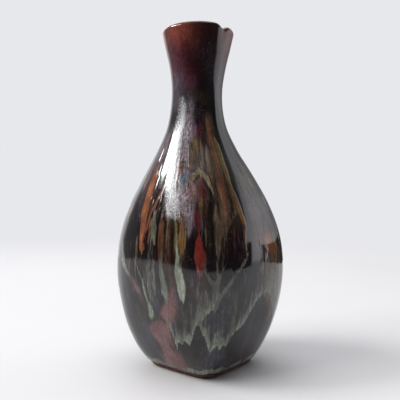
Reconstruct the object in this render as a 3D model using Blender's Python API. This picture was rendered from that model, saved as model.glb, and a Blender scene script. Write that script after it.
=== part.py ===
"""A wheel-thrown ceramic bud vase, pressed square at the foot, in its clay body and its coats of glaze.

The vase stands on z = 0 with the middle of its belly over the origin and +Z up. One corner of the squared
foot points to -Y. All sizes are in metres, and each solid is one piece of clay or one fired coat.
"""

import math

import bmesh
import bpy
import numpy as np

MM = 0.001

# The glazed outside: height, half-width across the corners, squareness and sideways lean at that height.
# Squareness is the exponent of a superellipse: 2 is round, and 5 is a square with soft corners.
OUTLINE = np.array(
    [
        (0.0 * MM, 29.8 * MM, 4.8, 0.6 * MM),
        (3.0 * MM, 32.2 * MM, 4.8, 0.3 * MM),
        (8.0 * MM, 36.0 * MM, 4.4, 0.0 * MM),
        (19.0 * MM, 41.9 * MM, 3.8, -0.2 * MM),
        (38.0 * MM, 47.7 * MM, 3.2, 0.0 * MM),
        (59.0 * MM, 49.9 * MM, 2.8, 0.0 * MM),
        (80.0 * MM, 47.4 * MM, 2.6, -0.2 * MM),
        (99.0 * MM, 40.2 * MM, 2.5, -0.7 * MM),
        (112.0 * MM, 33.2 * MM, 2.4, -1.1 * MM),
        (129.0 * MM, 23.7 * MM, 2.2, -2.0 * MM),
        (141.0 * MM, 18.4 * MM, 2.1, -2.4 * MM),
        (153.0 * MM, 15.9 * MM, 2.0, -2.5 * MM),
        (164.0 * MM, 15.4 * MM, 2.0, -2.3 * MM),
        (178.0 * MM, 17.1 * MM, 2.0, -1.9 * MM),
        (190.0 * MM, 19.9 * MM, 2.0, -1.8 * MM),
        (200.0 * MM, 22.1 * MM, 2.0, -1.7 * MM),
    ]
)
CORNER_TURN = math.radians(5)  # the front corner stands a little to the right of -Y

# The wall's whole thickness, clay and glaze, from the floor to the lip.
WALL = np.array(
    [
        (0.0 * MM, 7.5 * MM),
        (40.0 * MM, 6.0 * MM),
        (100.0 * MM, 5.6 * MM),
        (150.0 * MM, 4.9 * MM),
        (185.0 * MM, 4.2 * MM),
        (200.0 * MM, 4.0 * MM),
    ]
)
HEIGHT = 200 * MM
FLOOR_TOP = 9 * MM  # of the liner glaze, inside
FLOOR_ROUND = 9 * MM
LIP_ROUND = 2.0 * MM

GAP = 0.3 * MM
COAT = 0.6 * MM
LINER = 0.4 * MM
RUN_STANDS_PROUD = 0.4 * MM
FOOT_CHAMFER = 0.8 * MM
FOOT_LINE = 2.5 * MM  # the clay below it is bare
LIP_LINE = 184 * MM  # the lip's own glaze starts here
RUNS_TOP = 154 * MM

# The thumb-pressed dent in the lip, to the right of the front.
PINCH_AT = math.radians(47)
PINCH_WIDTH = math.radians(13)
PINCH_FROM = 180 * MM
PINCH_DIP = 2.2 * MM
PINCH_PRESS = 1.2 * MM

SIDES = 40
RUN_SIDES = 72
LEVEL_MM = (5, 12, 22, 36, 50, 62, 75, 88, 99, 110, 120, 130, 141, 154, 166, 176, 184, 192)
LEVELS = [height * MM for height in LEVEL_MM]
LIP_STEPS = 5
EDGE_STEP = 0.2 * MM  # between the rings that crowd together along a run's edge

# The pale glaze's lower edge hangs in long lobes, each running down to a blunt point.
RUN_EDGE = 46 * MM
RUN_SWING = 15 * MM
RUN_LOBES = 9
RUN_UNEVEN = 5 * MM


def smooth(height, knots, values):
    """A cubic curve through the values at these heights."""
    height = np.asarray(height, float)
    slope = np.gradient(values, knots)
    i = np.clip(np.searchsorted(knots, height) - 1, 0, len(knots) - 2)
    span = knots[i + 1] - knots[i]
    t = (height - knots[i]) / span
    rest = 1 - t
    start = values[i] * (1 + 2 * t) * rest**2 + slope[i] * span * t * rest**2
    return start + values[i + 1] * t**2 * (3 - 2 * t) - slope[i + 1] * span * t**2 * rest


def outline(height):
    """Half-width across the corners, squareness, and lean at a height."""
    return [smooth(height, OUTLINE[:, 0], OUTLINE[:, column]) for column in (1, 2, 3)]


def azimuths(sides):
    return np.arange(sides) * (2 * math.pi / sides)


def turn_from(azimuth, other):
    """The angle from one azimuth to another, between -pi and pi."""
    return (azimuth - other + math.pi) % (2 * math.pi) - math.pi


def ring(azimuth, height, inset):
    """Points round the pot at a height, moved in from the glazed outside by inset."""
    height = np.broadcast_to(height, azimuth.shape)
    corner, squareness, lean = outline(height)
    slope = (outline(height + MM)[0] - outline(height - MM)[0]) / (2 * MM)
    across = inset * np.sqrt(1 + slope**2)
    face = corner / 2 ** (0.5 - 1 / squareness)
    turned = azimuth - CORNER_TURN + math.pi / 4
    shape = np.abs(np.cos(turned)) ** squareness + np.abs(np.sin(turned)) ** squareness
    radius = face / shape ** (1 / squareness) - across
    pinched = pinch(azimuth, height)
    radius = radius - PINCH_PRESS * pinched
    return np.stack(
        [
            lean + radius * np.sin(azimuth),
            -radius * np.cos(azimuth),
            height - PINCH_DIP * pinched,
        ],
        axis=1,
    )


def pinch(azimuth, height):
    """How far the lip's dent has come at a point, from 0 to 1."""
    across = np.exp(-2 * (turn_from(azimuth, PINCH_AT) / PINCH_WIDTH) ** 2)
    up = np.clip((height - PINCH_FROM) / (HEIGHT - PINCH_FROM), 0, 1)
    return across * up**2


def wall(height):
    return smooth(height, WALL[:, 0], WALL[:, 1])


def levels(low, high):
    """The shared heights between two heights, with both ends."""
    return [low] + [h for h in LEVELS if low + MM < h < high - MM] + [high]


def outside(azimuth, low, high, inset):
    return [ring(azimuth, h, inset) for h in levels(low, high)]


def inside(azimuth, high, low, add=0.0):
    """Rings down the inner wall. add moves them from the liner's face into the wall."""
    return [ring(azimuth, h, wall(h) - add) for h in reversed(levels(low, high))]


def over_lip(azimuth, inset):
    """Rings over the rounded edge of the lip, from outside to inside."""
    middle = LIP_ROUND
    top = HEIGHT - LIP_ROUND
    radius = LIP_ROUND - inset
    rings = []
    for step in range(1, LIP_STEPS):
        angle = math.pi * step / LIP_STEPS
        points = ring(azimuth, top, middle - radius * math.cos(angle))
        points[:, 2] += radius * math.sin(angle)
        rings.append(points)
    return rings


def floor_rings(azimuth, floor, add):
    """Rings round the curve where the inner wall meets the floor, from the wall down."""
    rings = []
    radius = FLOOR_ROUND + add
    start = floor + radius
    for angle in (30, 60, 90):
        turn = math.radians(angle)
        inset = wall(start) - add + radius * (1 - math.cos(turn))
        points = ring(azimuth, start, inset)
        points[:, 2] -= radius * math.sin(turn)
        rings.append(points)
    return rings


def run_edge(azimuth):
    """The height of the pale glaze's lower edge."""
    lobes = RUN_SWING * np.cos(RUN_LOBES * azimuth)
    uneven = RUN_UNEVEN * np.sin(2 * azimuth + 1)
    return RUN_EDGE + lobes + uneven


def mesh_object(name, rings, material, ends):
    """One closed solid from rings of points. ends is "capped" or "joined", last ring to first."""
    mesh = bpy.data.meshes.new(name)
    body = bmesh.new()
    loops = [[body.verts.new(point) for point in points] for points in rings]
    pairs = list(zip(loops[:-1], loops[1:]))
    if ends == "joined":
        pairs.append((loops[-1], loops[0]))
    else:
        body.faces.new(loops[0])
        body.faces.new(loops[-1])
    for lower, upper in pairs:
        for i in range(len(lower)):
            j = (i + 1) % len(lower)
            body.faces.new((lower[i], lower[j], upper[j], upper[i]))
    bmesh.ops.recalc_face_normals(body, faces=body.faces)
    body.to_mesh(mesh)
    body.free()
    mesh.shade_smooth()
    mesh.set_sharp_from_angle(angle=math.radians(40))
    mesh.materials.append(material)
    made = bpy.data.objects.new(name, mesh)
    bpy.context.scene.collection.objects.link(made)
    return made


def material(name, colour, roughness, coat=0.0):
    made = bpy.data.materials.new(name)
    made.use_nodes = True
    shader = made.node_tree.nodes["Principled BSDF"]
    shader.inputs["Base Color"].default_value = (*colour, 1.0)
    shader.inputs["Roughness"].default_value = roughness
    shader.inputs["Metallic"].default_value = 0.0
    shader.inputs["Coat Weight"].default_value = coat
    return made


def clay_body():
    """The thrown pot: flat foot, outer wall, rounded lip, inner wall and floor."""
    azimuth = azimuths(SIDES)
    under_glaze = COAT + GAP
    under_liner = LINER + GAP
    bare = under_glaze / 2
    rings = [
        ring(azimuth, 0.0, bare + FOOT_CHAMFER),
        ring(azimuth, FOOT_CHAMFER, bare),
        ring(azimuth, FOOT_LINE - GAP, bare),
    ]
    rings += outside(azimuth, FOOT_LINE, HEIGHT - LIP_ROUND, under_glaze)
    rings += over_lip(azimuth, under_glaze)
    floor = FLOOR_TOP - under_liner
    rings += inside(azimuth, HEIGHT - LIP_ROUND, floor + FLOOR_ROUND + under_liner, under_liner)
    rings += floor_rings(azimuth, floor, under_liner)
    return mesh_object("clay_body", rings, material("fired_clay", (0.42, 0.17, 0.10), 0.85), "capped")


def dark_glaze():
    """The dark coat that covers the outside from just above the foot to below the lip."""
    azimuth = azimuths(SIDES)
    low = FOOT_LINE
    high = LIP_LINE - GAP
    rings = outside(azimuth, low, high, 0.0)
    rings += reversed(outside(azimuth, low, high, COAT))
    return mesh_object("dark_glaze", rings, material("tenmoku", (0.02, 0.016, 0.02), 0.12, 1.0), "joined")


def lip_glaze():
    """The thin red-brown coat that rolls over the lip and a little way down the inside."""
    azimuth = azimuths(SIDES)
    top = HEIGHT - LIP_ROUND
    rings = outside(azimuth, LIP_LINE, top, 0.0)
    rings += over_lip(azimuth, 0.0)
    rings += inside(azimuth, top, LIP_LINE)
    rings += reversed(inside(azimuth, top, LIP_LINE, COAT))
    rings += reversed(over_lip(azimuth, COAT))
    rings += reversed(outside(azimuth, LIP_LINE, top, COAT))
    return mesh_object("lip_glaze", rings, material("iron_red", (0.20, 0.045, 0.02), 0.12, 1.0), "joined")


def liner_glaze():
    """The coat poured into the pot: it covers the floor and the inner wall up to the lip's glaze."""
    azimuth = azimuths(SIDES)
    high = LIP_LINE - GAP
    low = FLOOR_TOP + FLOOR_ROUND
    wet = inside(azimuth, high, low) + floor_rings(azimuth, FLOOR_TOP, 0.0)
    back = inside(azimuth, high, low, LINER) + floor_rings(azimuth, FLOOR_TOP - LINER, LINER)
    rings = list(reversed(wet)) + back
    return mesh_object("liner_glaze", rings, material("liner", (0.10, 0.035, 0.02), 0.15, 1.0), "capped")


def run_glaze():
    """The pale coat poured over the dark one, which melted and ran down into pointed drips."""
    azimuth = azimuths(RUN_SIDES)
    edge = run_edge(azimuth)
    heights = [edge]
    for height in levels(edge.min(), RUNS_TOP)[1:]:
        heights.append(np.maximum(height, heights[-1] + EDGE_STEP))
    outer = [ring(azimuth, height, -GAP - RUN_STANDS_PROUD) for height in heights]
    inner = [ring(azimuth, height, -GAP) for height in heights]
    rings = outer + list(reversed(inner))
    return mesh_object("run_glaze", rings, material("rutile", (0.34, 0.38, 0.27), 0.15, 1.0), "joined")


def main():
    for old in list(bpy.data.objects):
        bpy.data.objects.remove(old, do_unlink=True)
    clay_body()
    dark_glaze()
    run_glaze()
    lip_glaze()
    liner_glaze()


main()
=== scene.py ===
"""The looks of the ceramic bud vase: fine meshes for its clay and glazes, with procedural glaze colours.

Azimuth is the angle round the pot in degrees: 0 faces the camera (-Y), 90 is to its right (+X).
"""

import math
from collections import namedtuple

import bpy
import numpy as np
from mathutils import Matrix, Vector

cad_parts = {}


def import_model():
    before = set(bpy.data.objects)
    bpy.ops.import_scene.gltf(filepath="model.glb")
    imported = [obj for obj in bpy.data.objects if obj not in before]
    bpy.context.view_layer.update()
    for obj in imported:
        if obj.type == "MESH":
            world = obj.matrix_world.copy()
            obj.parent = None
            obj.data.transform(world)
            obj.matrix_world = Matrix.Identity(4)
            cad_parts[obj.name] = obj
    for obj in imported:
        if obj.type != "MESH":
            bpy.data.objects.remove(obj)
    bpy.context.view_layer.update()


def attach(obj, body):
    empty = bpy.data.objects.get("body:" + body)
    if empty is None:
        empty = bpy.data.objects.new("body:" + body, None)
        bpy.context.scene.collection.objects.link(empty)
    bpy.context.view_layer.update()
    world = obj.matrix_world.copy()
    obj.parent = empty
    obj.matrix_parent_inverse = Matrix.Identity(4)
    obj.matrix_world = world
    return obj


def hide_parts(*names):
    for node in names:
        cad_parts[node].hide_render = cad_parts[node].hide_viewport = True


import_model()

MM = 0.001
SEED = 11

# The glazed outside, as in the CAD: height, half-width across the corners, squareness and lean, in mm.
OUTLINE = np.array(
    [
        (0.0, 29.8, 4.8, 0.6),
        (3.0, 32.2, 4.8, 0.3),
        (8.0, 36.0, 4.4, 0.0),
        (19.0, 41.9, 3.8, -0.2),
        (38.0, 47.7, 3.2, 0.0),
        (59.0, 49.9, 2.8, 0.0),
        (80.0, 47.4, 2.6, -0.2),
        (99.0, 40.2, 2.5, -0.7),
        (112.0, 33.2, 2.4, -1.1),
        (129.0, 23.7, 2.2, -2.0),
        (141.0, 18.4, 2.1, -2.4),
        (153.0, 15.9, 2.0, -2.5),
        (164.0, 15.4, 2.0, -2.3),
        (178.0, 17.1, 2.0, -1.9),
        (190.0, 19.9, 2.0, -1.8),
        (200.0, 22.1, 2.0, -1.7),
    ]
)
WALL = np.array([(0.0, 7.5), (40.0, 6.0), (100.0, 5.6), (150.0, 4.9), (185.0, 4.2), (200.0, 4.0)])
CORNER_TURN = 5.0  # the azimuth of the front corner
HEIGHT = 199.8
LIP_ROUND = 2.0
LIP_LINE = 184.0  # the lip glaze starts here
FOOT_LINE = 2.5  # the dark glaze ends here, above the bare foot
FLOOR_TOP = 9.0
FLOOR_ROUND = 9.0
PINCH_AT = 47.0  # the dent in the lip: its azimuth, its half-width in degrees, and its lowest height
PINCH_WIDTH = 13.0
PINCH_FROM = 180.0
PINCH_DIP = 2.2
PINCH_PRESS = 1.2
COAT = 0.6  # thickness of the outer glazes
LINER = 0.4
GAP = 0.3  # clearance between glaze and clay
BARE = 0.45  # the bare foot stands in from the glazed outline by this much
FOOT_ROUND = 1.0
RUN_LOW = 6.0
RUN_HIGH = 154.0  # the run coat reaches from RUN_LOW to here
RUN_RELIEF = 0.11  # how far a run stands proud of the dark coat
RUN_SINK = 0.05  # how far the run coat lies under the dark coat where there is no run
RUN_BACK = 0.25
RIPPLE = 0.035

SIDES = 448
RING_STEP = 1.0
LIP_STEPS = 14


# ---- shape

def smooth(height, knots, values):
    """A cubic curve through the values at these heights."""
    height = np.asarray(height, float)
    slope = np.gradient(values, knots)
    i = np.clip(np.searchsorted(knots, height) - 1, 0, len(knots) - 2)
    span = knots[i + 1] - knots[i]
    t = (height - knots[i]) / span
    rest = 1 - t
    start = values[i] * (1 + 2 * t) * rest**2 + slope[i] * span * t * rest**2
    return start + values[i + 1] * t**2 * (3 - 2 * t) - slope[i + 1] * span * t**2 * rest


def outline(height):
    return [smooth(height, OUTLINE[:, 0], OUTLINE[:, column]) for column in (1, 2, 3)]


def wall(height):
    return smooth(height, WALL[:, 0], WALL[:, 1])


def turn_from(azimuth, other):
    """The angle from one azimuth to another, in degrees between -180 and 180."""
    return (azimuth - other + 180.0) % 360.0 - 180.0


def step(low, high, value):
    t = np.clip((value - low) / (high - low), 0, 1)
    return t * t * (3 - 2 * t)


def pinch(azimuth, height):
    across = np.exp(-2 * (turn_from(azimuth, PINCH_AT) / PINCH_WIDTH) ** 2)
    up = np.clip((height - PINCH_FROM) / (HEIGHT - PINCH_FROM), 0, 1)
    return across * up**2


def radius_at(azimuth, height):
    corner, squareness, _ = outline(height)
    face = corner / 2 ** (0.5 - 1 / squareness)
    turned = np.radians(azimuth - CORNER_TURN + 45)
    shape = np.abs(np.cos(turned)) ** squareness + np.abs(np.sin(turned)) ** squareness
    return face / shape ** (1 / squareness)


def ring(azimuth, height, inset):
    """Points round the pot at a height, in metres, moved in from the glazed outside by inset mm."""
    height = np.broadcast_to(np.asarray(height, float), azimuth.shape)
    slope = outline(height + 1)[0] / 2 - outline(height - 1)[0] / 2
    pinched = pinch(azimuth, height)
    radius = radius_at(azimuth, height) - inset * np.sqrt(1 + slope**2) - PINCH_PRESS * pinched
    turn = np.radians(azimuth)
    lean = outline(height)[2]
    points = [lean + radius * np.sin(turn), -radius * np.cos(turn), height - PINCH_DIP * pinched]
    return np.stack(points, axis=-1) * MM


# ---- glaze pattern

# The colours of the fired glazes, and of some painted sheen, highlight and shade, as linear red, green and
# blue.
BLACK = (0.004, 0.003, 0.004)
PAINTED_SHADE = (0.010, 0.007, 0.011)
SLATE = (0.015, 0.013, 0.016)
PLUM = (0.022, 0.008, 0.013)
MAROON = (0.070, 0.012, 0.018)
AMBER = (0.225, 0.056, 0.036)
BROWN = (0.085, 0.038, 0.020)
RUST = (0.170, 0.070, 0.042)
TERRACOTTA = (0.240, 0.088, 0.036)
GOLD = (0.185, 0.100, 0.034)
TAN = (0.118, 0.080, 0.052)
DUN = (0.072, 0.044, 0.030)
REFLECTION_HAZE = (0.078, 0.070, 0.084)
DUSK = (0.115, 0.046, 0.060)
LILAC_SHEEN = (0.260, 0.215, 0.240)
OLIVE = (0.100, 0.082, 0.034)
SAGE = (0.105, 0.115, 0.072)
LIME = (0.120, 0.105, 0.040)
CREAM = (0.180, 0.150, 0.085)
MIST = (0.105, 0.108, 0.092)
PALE = (0.150, 0.175, 0.140)
ICE = (0.240, 0.285, 0.225)
BLUISH_HIGHLIGHT = (0.095, 0.135, 0.165)
MAUVE = (0.150, 0.130, 0.150)
PINK = (0.240, 0.155, 0.160)
VIOLET = (0.160, 0.075, 0.135)
ROSE = (0.185, 0.086, 0.084)
BLUSH = (0.215, 0.118, 0.118)
CRIMSON = (0.095, 0.018, 0.024)
RED = (0.190, 0.016, 0.010)
MOSS = (0.042, 0.046, 0.032)
UMBER = (0.050, 0.028, 0.014)
INK = (0.044, 0.043, 0.060)

# Soft stains in the coat, and marked patches of painted light: colour, azimuth, height, half-width in
# degrees, half-height in mm and strength.
STAINS_AND_PAINTED_LIGHT = (
    (SLATE, 0, 30, 400, 30, 1.0),
    (PLUM, 0, 88, 400, 24, 0.4),
    # Mauve and lilac patches around the window's highlight: painted sheen, the haze of its reflection.
    (MAUVE, -14, 150, 10, 9, 0.9),
    (LILAC_SHEEN, -14, 137, 9, 9, 0.9),
    (LILAC_SHEEN, -15, 120, 9, 13, 0.8),
    (LILAC_SHEEN, -53, 126, 8, 14, 0.95),
    (PLUM, 8, 146, 10, 8, 0.9),
    (VIOLET, -3, 137, 3.6, 4.5, 0.9),
    (CRIMSON, 6, 137, 5, 5.5, 0.8),
    (DUN, 18, 106, 19, 28, 1.0),
    (OLIVE, -2, 129, 8, 5, 0.9),
    (DUN, -3, 121, 8, 8, 0.9),
    # A lilac patch in the lower end of the highlight: painted sheen.
    (LILAC_SHEEN, -14, 102, 7, 11, 0.85),
    (TAN, 21, 120, 8, 16, 0.9),
    (RUST, 21, 134, 5, 12, 0.7),
    (PLUM, 4, 121, 4.5, 9, 1.0),
    (UMBER, 6, 119, 7, 5, 0.7),
    (PLUM, 11, 116, 4.0, 12, 0.8),
    (OLIVE, 12, 84, 6, 14, 0.6),
    (BROWN, -24, 78, 9, 16, 0.7),
    (OLIVE, -14, 76, 4, 12, 0.6),
    (RUST, -48, 100, 7, 18, 0.35),
    # A bluish patch at the edge of the highlight: painted highlight.
    (BLUISH_HIGHLIGHT, -15, 108.5, 5, 5, 0.9),
    (PINK, -7, 103, 6, 6, 0.95),
    (CRIMSON, 3, 104, 4, 5, 0.7),
    # Painted highlight: the pale bluish end of the window's reflection.
    (LILAC_SHEEN, -7, 89, 4.5, 8, 0.95),
    (PLUM, 25, 74, 11, 11, 0.9),
    (PLUM, -8, 60, 12, 9, 0.9),
    (UMBER, 4, 50, 14, 8, 0.5),
    (INK, 26, 50, 12, 9, 0.5),
    # Painted shade: darker low on the right, where the glaze mirrors the table in the pot's own shadow.
    (PAINTED_SHADE, 50, 27, 22, 20, 0.9),
    (INK, 12, 32, 9, 7, 0.6),
    (INK, -52, 18, 12, 10, 0.5),
    # Painted shade: a dark patch on the left, where the glaze mirrors the dim room.
    (PAINTED_SHADE, -56, 84, 9, 14, 0.9),
    (MAUVE, -60, 108, 14, 14, 0.35),
    # Painted reflection: a mauve-grey patch where the glaze mirrors the wall on the right.
    (MAUVE, 50, 87, 12, 20, 0.85),
    (TAN, 27, 143, 7, 7, 0.8),
    # Painted reflection: a pale patch where the glaze mirrors the wall on the right.
    (MIST, 52, 106, 8, 9, 0.6),
    (OLIVE, 61, 60, 14, 16, 0.6),
    (CRIMSON, 0, 54, 4, 8, 0.45),
    (BLUSH, -27, 7, 17, 9, 0.95),
    (ROSE, 45, 14, 16, 6, 0.12),
)

# Places on the neck: grey patches of painted reflection haze, and tinted and speckled places.
NECK_STAINS_AND_REFLECTIONS = (
    (DUSK, -44, 176, 19, 12, 0.75),
    (DUSK, -22, 166, 22, 6, 0.6),
    # Grey haze on the left of the neck: painted reflection.
    (REFLECTION_HAZE, -46, 160, 20, 13, 1.0),
    (REFLECTION_HAZE, -16, 156, 12, 6, 0.8),
    (OLIVE, 12, 158, 50, 3, 0.25),
    # Grey haze on the right of the neck: painted reflection.
    (REFLECTION_HAZE, 60, 165, 16, 16, 0.4),
    (SLATE, 32, 168, 15, 22, 0.85),
)

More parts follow.
